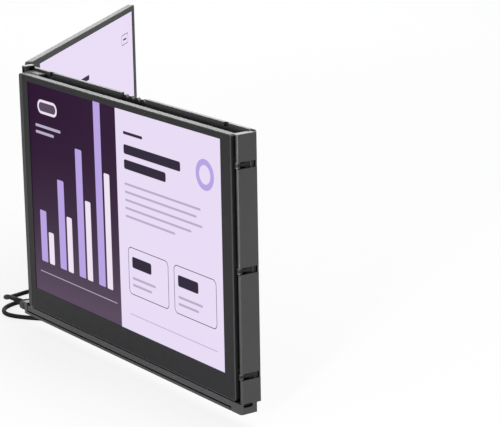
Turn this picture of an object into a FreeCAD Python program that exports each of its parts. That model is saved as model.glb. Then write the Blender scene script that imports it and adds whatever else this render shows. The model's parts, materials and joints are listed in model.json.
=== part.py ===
import FreeCAD, Part
import Sketcher
import math
import os
import re

# Folding two-screen extender: a thin upright frame with a display on each side column.
# X runs along the frame's width, -Y points to the side the displays are on, +Z is up.
# The origin is the middle of the soft pads' rear face (the plane Y = 0).
# A "depth" is a distance in front of that face, so a point at depth 5 has Y = -5.

Vector = FreeCAD.Vector
doc = FreeCAD.newDocument("screen_extender")

# Driving dimensions, in millimetres and degrees

DIMENSIONS = (
    ("frame_half", 175.25, "half the width over the side covers"),
    ("frame_top", 115.7, "top edge of the frame plate"),
    ("frame_floor", -103.6, "bottom edge of the frame plate"),
    ("plate_half", 168.9, "half the width of the frame plate"),
    ("skin_half", 173.0, "half the width of the rear skin"),
    ("pad_depth", 1.0, "thickness of the rubber pads"),
    ("skin_depth", 1.4, "thickness of the rear skin"),
    ("plate_front", 4.4, "depth of the plate's front face"),
    ("notch_inner", 133.5, "inner side of the cable notches"),
    ("notch_outer", 139.5, "outer side of the cable notches"),
    ("notch_deep", 3.6, "depth of the cable notches"),
    ("latch_half", 19.5, "half the width of the top latch recess"),
    ("latch_deep", 7.0, "height of the top latch recess"),
    ("bar_top", -105.6, "top of the bottom bar"),
    ("bar_seam", -111.3, "seam between the bar and its base"),
    ("bar_floor", -114.3, "underside of the bottom bar"),
    ("bar_rear", 6.5, "depth of the bar's rear face"),
    ("bar_front", 22.0, "depth of the bar's front face"),
    ("bar_corner", 2.4, "radius of the bar's upright corners"),
    ("seam_gap", 1.3, "width of the seam around the base"),
    ("base_end", 159.8, "near end of the bar's base"),
    ("end_block", 168.4, "inner side of the far end block"),
    ("block_top", -103.2, "top of the far end block"),
    ("port_depth", 15.1, "depth of the port's centre"),
    ("near_port_height", -107.2, "height of the near port's centre"),
    ("far_port_height", -109.6, "height of the far port's centre"),
    ("port_wide", 9.0, "width of the port's shell"),
    ("port_tall", 3.2, "height of the port's shell"),
    ("cover_wall", 1.9, "wall of the side covers"),
    ("cover_rear", 2.5, "depth of the side covers' rear edge"),
    ("near_front", 21.0, "depth of the near cover's front edge"),
    ("far_front", 13.0, "depth of the far cover's front edge"),
    ("rib_rear", 8.0, "rear of the covers' inner rib"),
    ("rib_front", 11.6, "front of the covers' inner rib"),
    ("near_top", 114.7, "top of the near column"),
    ("far_top", 117.6, "top of the far column"),
    ("window_upper", 89.7, "height of the upper hinge window"),
    ("window_middle", 4.4, "height of the middle hinge window"),
    ("window_lower", -83.1, "height of the lower hinge window"),
    ("window_half", 2.8, "half the height of a hinge window"),
    ("rear_axis_x", 171.4, "X of the frame's hinge axes"),
    ("rear_axis_depth", 5.2, "depth of the frame's hinge axes"),
    ("link_length", 13.6, "distance between a link's two axes"),
    ("near_link_turn", 2.6, "lean of the near links from straight out, degrees"),
    ("far_link_turn", 105.0, "turn of the far links from straight out, degrees"),
    ("far_screen_turn", 228.6, "turn of the far display from folded, degrees"),
    ("barrel", 2.1, "radius of the links' barrels"),
    ("pin", 0.8, "radius of the hinge pins"),
    ("pin_fit", 0.05, "running clearance of the pins"),
    ("screen_width", 332.8, "width of a display"),
    ("screen_height", 218.3, "height of a display"),
    ("screen_back", 3.7, "from the hinge axis to the display's back"),
    ("screen_face", 3.3, "from the hinge axis to the display's face"),
    ("screen_inset", 3.4, "from the hinge axis to the display's hinge edge"),
    ("screen_corner", 3.0, "radius of a display's corners"),
    ("shell_wall", 1.4, "wall of the display shells"),
    ("glass_depth", 0.8, "thickness of the bezel plate"),
    ("bezel_free", 5.9, "from the near display's free edge to its bezel plate"),
    ("far_bezel_free", 1.2, "from the far display's free edge to its bezel plate"),
    ("bezel_rim", 0.9, "shell rim around the bezel plate"),
    ("view_free", 14.6, "from the near display's free edge to its lit area"),
    ("view_hinge", 15.3, "from the near display's hinge edge to its lit area"),
    ("far_view_free", 7.2, "from the far display's free edge to its lit area"),
    ("far_view_hinge", 22.7, "from the far display's hinge edge to its lit area"),
    ("view_top", 5.8, "from the top edge to the lit area"),
    ("view_bottom", 20.1, "from the bottom edge to the lit area"),
    ("near_middle", 4.55, "height of the near display's middle"),
    ("far_middle", 8.35, "height of the far display's middle"),
    ("cable", 4.2, "diameter of the cable"),
    ("table", -129.4, "height of the surface under the cable"),
)

sheet = doc.addObject("Spreadsheet::Sheet", "Dims")
SIZE = {}
for row, (alias, value, note) in enumerate(DIMENSIONS, start=1):
    sheet.set(f"A{row}", alias)
    sheet.set(f"B{row}", str(value))
    sheet.set(f"C{row}", note)
    sheet.setAlias(f"B{row}", alias)
    SIZE[alias] = value
doc.recompute()

NODES = []
NEAR = 1
FAR = -1
SIDE_NAMES = {NEAR: "near", FAR: "far"}
WINDOWS = ("upper", "middle", "lower")


# Helpers that bind sizes to the sheet

def bind(item, prop, text):
    """Bind one property to a formula of the sheet's aliases."""
    item.setExpression(prop, re.sub(r"[a-z][a-z_]+", r"Dims.\g<0>", str(text)))


def measure(text):
    """The value of a formula of the sheet's aliases."""
    filled = re.sub(r"[a-z][a-z_]+", lambda word: f"({SIZE[word.group(0)]})", str(text))
    return float(FreeCAD.Units.Quantity(filled).Value)


def span(side, inner, outer):
    """Two X places, counted outwards from the middle, on the near or the far side."""
    if side == NEAR:
        return (f"{inner}", f"{outer}")
    return (f"-({outer})", f"-({inner})")


def box(name, x, depth, z):
    """A block between two X places, two depths and two heights."""
    block = doc.addObject("Part::Box", name)
    bind(block, "Placement.Base.x", x[0])
    bind(block, "Placement.Base.y", f"-({depth[1]})")
    bind(block, "Placement.Base.z", z[0])
    bind(block, "Length", f"({x[1]}) - ({x[0]})")
    bind(block, "Width", f"({depth[1]}) - ({depth[0]})")
    bind(block, "Height", f"({z[1]}) - ({z[0]})")
    return block


def post(name, x, depth, z, radius):
    """An upright cylinder."""
    rod = doc.addObject("Part::Cylinder", name)
    bind(rod, "Placement.Base.x", x)
    bind(rod, "Placement.Base.y", f"-({depth})")
    bind(rod, "Placement.Base.z", z[0])
    bind(rod, "Radius", radius)
    bind(rod, "Height", f"({z[1]}) - ({z[0]})")
    return rod


def join(name, parts):
    """Fuse the parts into one solid, or keep them as one group when they don't touch."""
    group = doc.addObject("Part::MultiFuse", name)
    group.Shapes = parts
    group.Refine = True
    return group


def cut(name, base, tools):
    """Take the tools away from the base."""
    tool = tools[0] if len(tools) == 1 else join(f"{name}_tools", tools)
    result = doc.addObject("Part::Cut", name)
    result.Base = base
    result.Tool = tool
    result.Refine = True
    return result


def rounded(name, base, radius, wanted):
    """Round the edges of the base whose middle point and direction are wanted."""
    doc.recompute()
    edges = []
    for number, edge in enumerate(base.Shape.Edges, start=1):
        first, last = edge.Vertexes[0].Point, edge.Vertexes[-1].Point
        if wanted((first + last) * 0.5, last - first):
            edges.append((number, measure(radius), measure(radius)))
    fillet = doc.addObject("Part::Fillet", name)
    fillet.Base = base
    fillet.Edges = edges
    return fillet


def node(label, item, place=None):
    """Name a finished piece and put it in its place."""
    item.Label = label
    if place is not None:
        item.Placement = place
    NODES.append(item)
    return item


def upright(direction):
    return abs(direction.z) > 1 and abs(direction.x) + abs(direction.y) < 0.01


# Where the hinges are

def axis_point(side, turn):
    """The display's hinge axis, at a turn of the link from straight out."""
    angle = math.radians(turn)
    reach = SIZE["link_length"]
    x = SIZE["rear_axis_x"] + reach * math.sin(angle)
    depth = SIZE["rear_axis_depth"] + reach * math.cos(angle)
    return Vector(side * x, -depth, 0)


LINK_TURN = {NEAR: SIZE["near_link_turn"], FAR: SIZE["far_link_turn"]}
SCREEN_TURN = {NEAR: 0.0, FAR: -SIZE["far_screen_turn"]}
MIDDLE = {NEAR: SIZE["near_middle"], FAR: SIZE["far_middle"]}
Z_AXIS = Vector(0, 0, 1)


def link_place(side, height):
    rear = Vector(side * SIZE["rear_axis_x"], -SIZE["rear_axis_depth"], height)
    return FreeCAD.Placement(rear, FreeCAD.Rotation(Z_AXIS, side * LINK_TURN[side]))


def screen_place(side):
    """The display's own frame: its hinge axis at its origin, its back towards +Y."""
    axis = axis_point(side, LINK_TURN[side])
    axis.z = MIDDLE[side]
    return FreeCAD.Placement(axis, FreeCAD.Rotation(Z_AXIS, SCREEN_TURN[side]))


# Frame plate, rear skin and pads

def recess_tool(name, depth):
    """The room for the top latch."""
    return box(f"{name}_recess", ("-latch_half", "latch_half"), depth,
               ("frame_top - latch_deep", "frame_top + 1"))


def frame_plate():
    sheet_metal = box("plate_sheet", ("-plate_half", "plate_half"),
                      ("pad_depth + skin_depth", "plate_front"), ("frame_floor", "frame_top"))
    foot = box("plate_foot", ("-160", "160"), ("pad_depth + skin_depth", "13"),
               ("frame_floor - 1.4", "frame_floor"))
    blank = rounded("plate_blank", join("plate_body", [sheet_metal, foot]), "2",
                    lambda mid, way: abs(way.y) > 1 and abs(way.x) + abs(way.z) < 0.01
                    and mid.z > SIZE["frame_top"] - 0.1)
    tools = [recess_tool("plate", ("0", "plate_front + 1"))]
    for side in (NEAR, FAR):
        tools.append(box(f"plate_notch_{SIDE_NAMES[side]}", span(side, "notch_inner", "notch_outer"),
                         ("0", "plate_front + 1"), ("frame_top - notch_deep", "frame_top + 1")))
    for row, height in enumerate(("-60", "60")):
        for column, x in enumerate(("-110", "110")):
            hole = doc.addObject("Part::Cylinder", f"magnet_seat_{row}_{column}")
            bind(hole, "Radius", "9.05")
            bind(hole, "Height", "1.1")
            bind(hole, "Placement.Base.x", x)
            bind(hole, "Placement.Base.z", height)
            hole.Placement.Rotation = FreeCAD.Rotation(Vector(1, 0, 0), 90)
            bind(hole, "Placement.Base.y", "-(pad_depth + skin_depth)")
            tools.append(hole)
    tools += base_screw_holes("plate_foot_hole", ("frame_floor - 2", "frame_floor + 1"))
    return node("frame_plate", cut("frame_plate_cut", blank, tools))


FOOT_SCREWS = ("-140", "-50", "50", "140")


def base_screw_holes(name, z):
    """Holes through the plate's foot into the bar."""
    return [post(f"{name}_{number}", x, "9.8", z, "1.05") for number, x in enumerate(FOOT_SCREWS)]


def rear_skin():
    skin = box("skin_sheet", ("-skin_half", "skin_half"), ("pad_depth", "pad_depth + skin_depth"),
               ("frame_floor - 1.4", "frame_top"))
    blank = rounded("skin_blank", skin, "2",
                    lambda mid, way: abs(way.y) > 1 and abs(way.x) + abs(way.z) < 0.01)
    return node("rear_skin", cut("rear_skin_cut", blank, [recess_tool("skin", ("0", "plate_front"))]))


def rest_pads():
    strips = [box("pad_middle", ("-60", "60"), ("0", "pad_depth"), ("-35", "35"))]
    for side in (NEAR, FAR):
        for row, z in enumerate((("-95", "-15"), ("15", "95"))):
            strips.append(box(f"pad_{SIDE_NAMES[side]}_{row}", span(side, "144", "160"),
                              ("0", "pad_depth"), z))
    rounded_strips = [rounded(f"{strip.Name}_round", strip, "4",
                              lambda mid, way: abs(way.y) > 0.5 and abs(way.x) + abs(way.z) < 0.01)
                      for strip in strips]
    group = doc.addObject("Part::Compound", "rest_pads_group")
    group.Links = rounded_strips
    return node("rest_pads", group)


def holding_magnets():
    discs = []
    for row, height in enumerate(("-60", "60")):
        for column, x in enumerate(("-110", "110")):
            disc = doc.addObject("Part::Cylinder", f"magnet_{row}_{column}")
            bind(disc, "Radius", "9")
            bind(disc, "Height", "1")
            bind(disc, "Placement.Base.x", x)
            bind(disc, "Placement.Base.z", height)
            disc.Placement.Rotation = FreeCAD.Rotation(Vector(1, 0, 0), 90)
            bind(disc, "Placement.Base.y", "-(pad_depth + skin_depth)")
            discs.append(disc)
    group = doc.addObject("Part::Compound", "holding_magnets_group")
    group.Links = discs
    return node("holding_magnets", group)


def top_latch():
    """The pull-up catch in the top recess, with its four-lobed finger grip."""
    floor = "frame_top - latch_deep + 0.1"
    body = box("latch_body", ("-latch_half + 0.15", "latch_half - 0.15"),
               ("pad_depth + 0.1", "plate_front - 0.1"), (floor, "frame_top - 3.2"))
    lobes = []
    for number in range(4):
        lobe = doc.addObject("Part::Cylinder", f"latch_lobe_{number}")
        bind(lobe, "Radius", "4.2")
        bind(lobe, "Height", "plate_front - pad_depth - 0.2")
        bind(lobe, "Placement.Base.x", f"{(number - 1.5) * 9.2}")
        bind(lobe, "Placement.Base.z", "frame_top - 5.1")
        lobe.Placement.Rotation = FreeCAD.Rotation(Vector(1, 0, 0), 90)
        bind(lobe, "Placement.Base.y", "-(pad_depth + 0.1)")
        lobes.append(lobe)
    solid = join("latch_solid", [body] + lobes)
    trim = box("latch_trim", ("-latch_half", "latch_half"), ("0", "plate_front"),
               ("frame_top - latch_deep - 8", floor))
    return node("top_latch", cut("top_latch_cut", solid, [trim]))


# Bottom bar

def port_hole(name, side, x):
    """The rounded slot that a port's shell sits in."""
    height = f"{SIDE_NAMES[side]}_port_height"
    tool = box(name, x, ("port_depth - port_wide / 2", "port_depth + port_wide / 2"),
               (f"{height} - port_tall / 2", f"{height} + port_tall / 2"))
    return rounded(f"{name}_round", tool, "port_tall * 0.47",
                   lambda mid, way: abs(way.x) > 1 and abs(way.y) + abs(way.z) < 0.01)


def cover_profile(name, side, z, front):
    """Side wall, rear wall and inner rib of one length of a side column."""
    wall = box(f"{name}_wall", span(side, "frame_half - cover_wall", "frame_half"),
               ("cover_rear", front), z)
    wall = rounded(f"{name}_wall_round", wall, "cover_wall * 0.97",
                   lambda mid, way: upright(way) and abs(mid.x) > SIZE["frame_half"] - 0.1
                   and -mid.y > measure(front) - 0.1)
    rear = box(f"{name}_rear", span(side, "plate_half + 0.3", "frame_half - cover_wall"),
               ("cover_rear", "cover_rear + 0.5"), z)
    rib = box(f"{name}_rib", span(side, "plate_half + 0.6", "frame_half - cover_wall"),
              ("rib_rear", "rib_front"), z)
    return [wall, rear, rib]


def bar_body():
    lower = "bar_seam + seam_gap / 2"
    main = box("bar_main", ("-end_block + seam_gap", "plate_half + 0.3"), ("bar_rear", "bar_front"),
               (lower, "bar_top"))
    step = box("bar_step", ("base_end + seam_gap", "plate_half + 0.3"), ("bar_rear", "bar_front"),
               ("bar_floor", lower))
    block = box("bar_end", ("plate_half + 0.3", "frame_half"), ("bar_rear", "bar_front"),
                ("bar_floor", "bar_top"))
    block = rounded("bar_end_round", block, "bar_corner",
                    lambda mid, way: upright(way) and mid.x > SIZE["frame_half"] - 0.1
                    and -mid.y > SIZE["bar_front"] - 0.1)
    column = cover_profile("bar_column", NEAR, ("bar_top - 0.5", "window_lower - window_half"), "near_front")
    tab = box("bar_tab", ("plate_half - 12", "frame_half - cover_wall"),
              ("plate_front", "plate_front + 1.5"), ("-101.5", "-93.5"))
    brace = box("bar_brace", ("plate_half + 0.6", "frame_half - cover_wall"),
                ("plate_front", "rib_rear"), ("-101.5", "-93.5"))
    solid = join("bar_solid", [main, step, block, tab, brace] + column)
    tools = [
        box("bar_pocket", ("-128", "128"), ("8.6", "20"), ("bar_floor - 1", "bar_top - 1")),
        port_hole("bar_port", NEAR, ("plate_half + 0.3", "frame_half + 1")),
    ]
    tools += base_screw_holes("bar_screw_hole", ("bar_seam - 1", "bar_top + 1"))
    return node("bar_body", cut("bar_body_cut", solid, tools))


BASE_SCREWS = (("-150", "14"), ("-136", "14"), ("136", "14"), ("150", "14"))


def bar_base():
    tray = box("base_tray", ("-frame_half", "base_end"), ("bar_rear", "bar_front"),
               ("bar_floor", "bar_seam - seam_gap / 2"))
    block = box("base_block", ("-frame_half", "-end_block"), ("bar_rear", "bar_front"),
                ("bar_floor", "block_top"))
    solid = rounded("base_round", join("base_solid", [tray, block]), "bar_corner",
                    lambda mid, way: upright(way) and mid.x < -SIZE["frame_half"] + 0.1
                    and -mid.y > SIZE["bar_front"] - 0.1)
    tongue = box("base_tongue", ("-126", "126"), ("8.8", "19.8"),
                 ("bar_seam - seam_gap / 2 - 0.1", "bar_seam + 0.6"))
    pads = [box(f"base_land_{number}", (f"{x} - 5", f"{x} + 5"), ("9", "19"),
                ("bar_seam - seam_gap / 2 - 0.1", "bar_seam + seam_gap / 2"))
            for number, (x, depth) in enumerate(BASE_SCREWS)]
    tools = [port_hole("base_port", FAR, ("-frame_half - 1", "-end_block"))]
    for number, (x, depth) in enumerate(BASE_SCREWS):
        tools.append(post(f"base_hole_{number}", x, depth, ("bar_floor - 1", "bar_seam + 1"), "1.1"))
        tools.append(post(f"base_sink_{number}", x, depth, ("bar_floor - 1", "bar_floor + 0.9"), "2.1"))
    whole = join("base_whole", [solid, tongue] + pads)
    return node("bar_base", cut("bar_base_cut", whole, tools))


def base_screws():
    """Screws that hold the base up to the bar, seen from below."""
    parts = []
    for number, (x, depth) in enumerate(BASE_SCREWS):
        head = post(f"base_screw_head_{number}", x, depth, ("bar_floor + 0.1", "bar_floor + 0.9"), "2")
        shank = post(f"base_screw_shank_{number}", x, depth,
                     ("bar_floor + 0.8", "bar_seam + seam_gap / 2"), "1")
        parts.append(join(f"base_screw_{number}", [head, shank]))
    group = doc.addObject("Part::Compound", "base_screws_group")
    group.Links = parts
    return node("base_screws", group)


def foot_screws():
    """Screws from the plate's foot down into the bar."""
    parts = []
    for number, x in enumerate(FOOT_SCREWS):
        head = post(f"foot_screw_head_{number}", x, "9.8", ("frame_floor", "frame_floor + 0.8"), "1.9")
        shank = post(f"foot_screw_shank_{number}", x, "9.8", ("bar_top - 0.9", "frame_floor + 0.1"), "1")
        parts.append(join(f"foot_screw_{number}", [head, shank]))
    group = doc.addObject("Part::Compound", "foot_screws_group")
    group.Links = parts
    return node("foot_screws", group)


def hub_board():
    """The circuit board in the bar, with its controller, coils and connectors."""
    top = "bar_seam + 0.6 + 1.2"
    board = box("board_sheet", ("-70", "70"), ("9.2", "19.4"), ("bar_seam + 0.6", top))
    chips = [
        box("board_chip", ("-9", "3"), ("10.5", "18"), (top, f"{top} + 1.2")),
        box("board_coil", ("14", "20"), ("11", "17"), (top, f"{top} + 2")),
        box("board_power", ("-32", "-26"), ("11", "17"), (top, f"{top} + 1.6")),
        box("board_plug_near", ("58", "66"), ("11", "17.5"), (top, f"{top} + 2")),
        box("board_plug_far", ("-66", "-58"), ("11", "17.5"), (top, f"{top} + 2")),
    ]
    return node("hub_board", join("hub_board_solid", [board] + chips))


def port_socket(side):
    """A reversible port's steel shell, its back plate and its tongue."""
    name = SIDE_NAMES[side]
    inner, outer = "plate_half + 0.4", "frame_half - 0.35"
    height = f"{name}_port_height"
    reach = span(side, inner, outer)

    def shell(label, x, shrink):
        tool = box(label, x, (f"port_depth - port_wide / 2 + {shrink}", f"port_depth + port_wide / 2 - {shrink}"),
                   (f"{height} - port_tall / 2 + {shrink}", f"{height} + port_tall / 2 - {shrink}"))
        return rounded(f"{label}_round", tool, f"(port_tall - 2 * {shrink}) * 0.47",
                       lambda mid, way: abs(way.x) > 1 and abs(way.y) + abs(way.z) < 0.01)

    outside = shell(f"{name}_port_out", reach, 0.05)
    hollow = shell(f"{name}_port_in", span(side, f"{inner} + 0.5", f"{outer} + 1"), 0.33)
    tube = cut(f"{name}_port_tube", outside, [hollow])
    tongue = box(f"{name}_port_tongue", span(side, f"{inner} + 0.4", f"{outer} - 0.9"),
                 ("port_depth - 3.2", "port_depth + 3.2"), (f"{height} - 0.33", f"{height} + 0.33"))
    return node(f"{name}_port", join(f"{name}_port_solid", [tube, tongue]))


# Side columns

def cover_pieces(side):
    """The lengths of column between the hinge windows, each on a tab of its own."""
    name = SIDE_NAMES[side]
    front = "near_front" if side == NEAR else "far_front"
    crest = "near_top" if side == NEAR else "far_top"
    lengths = [
        ("top", "window_upper + window_half", f"{crest} - 0.8"),
        ("upper", "window_middle + window_half", "window_upper - window_half"),
        ("lower", "window_lower + window_half", "window_middle - window_half"),
    ]
    if side == FAR:
        lengths.append(("bottom", "block_top + 0.4", "window_lower - window_half"))
    for part, low, high in lengths:
        label = f"{name}_cover_{part}"
        pieces = cover_profile(label, side, (low, high), front)
        middle = f"(({low}) + ({high})) / 2"
        tall = "3" if part in ("top", "bottom") else "12"
        tab = box(f"{label}_tab", span(side, "plate_half - 12", "frame_half - cover_wall"),
                  ("plate_front", "plate_front + 1.5"), (f"{middle} - {tall}", f"{middle} + {tall}"))
        brace = box(f"{label}_brace", span(side, "plate_half + 0.6", "frame_half - cover_wall"),
                    ("plate_front", "rib_rear"), (f"{middle} - {tall}", f"{middle} + {tall}"))
        pieces += [tab, brace]
        if part == "top":
            cap = box(f"{label}_cap", span(side, "plate_half + 0.3", "frame_half"),
                      ("cover_rear", front), (high, crest))
            pieces.append(rounded(f"{label}_cap_round", cap, "cover_wall * 0.97",
                                  lambda mid, way: upright_short(way, 0.5)
                                  and abs(mid.x) > SIZE["frame_half"] - 0.1
                                  and -mid.y > measure(front) - 0.1))
        node(label, join(f"{label}_solid", pieces))


def upright_short(direction, least):
    return abs(direction.z) > least and abs(direction.x) + abs(direction.y) < 0.01


def far_shoulder():
    """The grey block that caps the storage slot beside the far hinge."""
    block = box("shoulder_block", ("-plate_half + 1", "-144.9"), ("plate_front", "13.6"), ("108", "113.6"))
    return node("far_shoulder", rounded("far_shoulder_round", block, "1",
                                        lambda mid, way: mid.z > 113.5 and abs(way.z) < 0.01))


TAB_SCREWS = {
    "top": "(window_upper + window_half + near_top - 0.8) / 2",
    "upper": "(window_middle + window_upper) / 2",
    "lower": "(window_lower + window_middle) / 2",
    "bottom": "-97.5",
}


def cover_screws():
    """One screw through each cover's tab into the frame plate."""
    parts = []
    for side in (NEAR, FAR):
        for part, height in TAB_SCREWS.items():
            if side == FAR and part == "top":
                height = "(window_upper + window_half + far_top - 0.8) / 2"
            if side == FAR and part == "bottom":
                height = "(block_top + 0.4 + window_lower - window_half) / 2"
            label = f"cover_screw_{SIDE_NAMES[side]}_{part}"
            head = doc.addObject("Part::Cylinder", label)
            bind(head, "Radius", "1.7")
            bind(head, "Height", "0.7")
            bind(head, "Placement.Base.x", f"{side} * (plate_half - 6)")
            bind(head, "Placement.Base.z", height)
            head.Placement.Rotation = FreeCAD.Rotation(Vector(1, 0, 0), 90)
            bind(head, "Placement.Base.y", "-(plate_front + 1.5)")
            parts.append(head)
    group = doc.addObject("Part::Compound", "cover_screws_group")
    group.Links = parts
    return node("cover_screws", group)


# Hinges

def hinge_brackets(side):
    """Three steel brackets on the plate, each with two knuckles around the rear pin."""
    name = SIDE_NAMES[side]
    brackets = []
    for window in WINDOWS:
        label = f"{name}_bracket_{window}"
        height = f"window_{window}"
        base = box(f"{label}_base", span(side, "plate_half - 19", "rear_axis_x"),
                   ("plate_front", "plate_front + 1.5"), (f"{height} - 8", f"{height} + 8"))
        knuckle = post(f"{label}_knuckle", f"{side} * rear_axis_x", "rear_axis_depth",
                       (f"{height} - 8", f"{height} + 8"), "1.8")
        room = box(f"{label}_room", span(side, "plate_half - 0.4", "rear_axis_x + 3"),
                   ("0", "12"), (f"{height} - 2.6", f"{height} + 2.6"))
        bore = post(f"{label}_bore", f"{side} * rear_axis_x", "rear_axis_depth",
                    (f"{height} - 9", f"{height} + 9"), "pin")
        brackets.append(cut(f"{label}_cut", join(f"{label}_solid", [base, knuckle]), [room, bore]))
    group = doc.addObject("Part::Compound", f"{name}_brackets_group")
    group.Links = brackets
    return node(f"{name}_hinge_brackets", group)


def rear_pins(side):
    name = SIDE_NAMES[side]
    rods = []
    for window in WINDOWS:
        height = f"window_{window}"
        rods.append(post(f"{name}_rear_pin_{window}", f"{side} * rear_axis_x", "rear_axis_depth",
                         (f"{height} - 8", f"{height} + 8"), "pin"))
    group = doc.addObject("Part::Compound", f"{name}_rear_pins_group")
    group.Links = rods
    return node(f"{name}_rear_pins", group)


def hinge_link(side, window):
    """A dog-bone link: a full barrel at the frame's axis, a thin tongue at the display's."""
    label = f"{SIDE_NAMES[side]}_link_{window}"
    barrel = post(f"{label}_barrel", "0", "0", ("-2.5", "2.5"), "barrel")
    heel = box(f"{label}_heel", ("-1.1", "1.1"), ("0", "7"), ("-2.5", "2.5"))
    web = box(f"{label}_web", ("-1.1", "1.1"), ("0", "link_length"), ("-1.25", "1.25"))
    tongue = post(f"{label}_tongue", "0", "link_length", ("-1.25", "1.25"), "barrel")
    bores = [post(f"{label}_rear_bore", "0", "0", ("-3", "3"), "pin + pin_fit"),
             post(f"{label}_front_bore", "0", "link_length", ("-3", "3"), "pin + pin_fit")]
    solid = cut(f"{label}_cut", join(f"{label}_solid", [barrel, heel, web, tongue]), bores)
    return node(label, solid, link_place(side, SIZE[f"window_{window}"]))


def screen_hinges(side):
    """The displays' hinge leaves: a plate inside the shell and two ears round the front pin."""
    name = SIDE_NAMES[side]
    way = -side
    leaves = []
    for window in WINDOWS:
        label = f"{name}_leaf_{window}"
        height = f"(window_{window} - {SIDE_NAMES[side]}_middle)"
        plate = box(f"{label}_plate", span(way, "screen_inset + shell_wall + 0.1", "view_hinge - 0.4"),
                    ("-2.3", "-1.1"), (f"{height} - 8", f"{height} + 8"))
        web = box(f"{label}_web", span(way, "0", "screen_inset + shell_wall + 2"),
                  ("-2.1", "-1.1"), (f"{height} - 2.5", f"{height} + 2.5"))
        ear = post(f"{label}_ear", "0", "0", (f"{height} - 2.5", f"{height} + 2.5"), "barrel")
        room = box(f"{label}_room", span(way, "-3", "2.6"), ("-3", "3"),
                   (f"{height} - 1.35", f"{height} + 1.35"))
        bore = post(f"{label}_bore", "0", "0", (f"{height} - 3", f"{height} + 3"), "pin")
        leaves.append(cut(f"{label}_cut", join(f"{label}_solid", [plate, web, ear]), [room, bore]))
    group = doc.addObject("Part::Compound", f"{name}_leaves_group")
    group.Links = leaves
    return node(f"{name}_hinge_leaves", group, screen_place(side))


def front_pins(side):
    name = SIDE_NAMES[side]
    rods = []
    for window in WINDOWS:
        height = f"(window_{window} - {name}_middle)"
        rods.append(post(f"{name}_front_pin_{window}", "0", "0", (f"{height} - 2.5", f"{height} + 2.5"), "pin"))
    group = doc.addObject("Part::Compound", f"{name}_front_pins_group")
    group.Links = rods
    return node(f"{name}_front_pins", group, screen_place(side))


# Displays, each built around its own hinge axis

def margin(side, name):
    """A margin's alias: the far display's panel sits closer to its free edge."""
    return name if side == NEAR else f"far_{name}"


def screen_sketch(body, name, side, edges, forward):
    """A rectangle in a plane parallel to the display, bound to the sheet on all four sides."""
    inner, outer, low, high = edges
    sketch = body.newObject("Sketcher::SketchObject", name)
    plane = [item for item in body.Origin.OriginFeatures if item.Role == "XZ_Plane"][0]
    sketch.AttachmentSupport = [(plane, "")]
    sketch.MapMode = "FlatFace"
    bind(sketch, "AttachmentOffset.Base.z", forward)
    way = -side
    x_in, x_out = way * measure(inner), way * measure(outer)
    z_low, z_high = -measure(low), measure(high)
    corners = [Vector(x_in, z_low, 0), Vector(x_out, z_low, 0),
               Vector(x_out, z_high, 0), Vector(x_in, z_high, 0)]
    for start, end in zip(corners, corners[1:] + corners[:1]):
        sketch.addGeometry(Part.LineSegment(start, end), False)
    for line in range(4):
        sketch.addConstraint(Sketcher.Constraint("Coincident", line, 2, (line + 1) % 4, 1))
        sketch.addConstraint(Sketcher.Constraint("Horizontal" if line % 2 == 0 else "Vertical", line))

    def distance(kind, line, point, positive, formula):
        ends = (-1, 1, line, point) if positive else (line, point, -1, 1)
        index = sketch.addConstraint(Sketcher.Constraint(kind, *ends, measure(formula)))
        bind(sketch, f"Constraints[{index}]", formula)

    distance("DistanceX", 0, 1, way > 0, inner)
    distance("DistanceX", 0, 2, way > 0, outer)
    distance("DistanceY", 0, 1, False, low)
    distance("DistanceY", 2, 1, True, high)
    return sketch


def pad_or_pocket(body, kind, name, sketch, depth):
    feature = body.newObject(kind, name)
    feature.Profile = sketch
    bind(feature, "Length", depth)
    doc.recompute()
    return feature


def dress(body, kind, name, base, size, wanted):
    """A fillet or chamfer feature on the base's edges that are wanted."""
    names = []
    for number, edge in enumerate(base.Shape.Edges, start=1):
        first, last = edge.Vertexes[0].Point, edge.Vertexes[-1].Point
        if wanted((first + last) * 0.5, last - first):
            names.append(f"Edge{number}")
    feature = body.newObject(kind, name)
    feature.Base = (base, names)
    bind(feature, "Radius" if kind.endswith("Fillet") else "Size", size)
    doc.recompute()
    return feature


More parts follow.
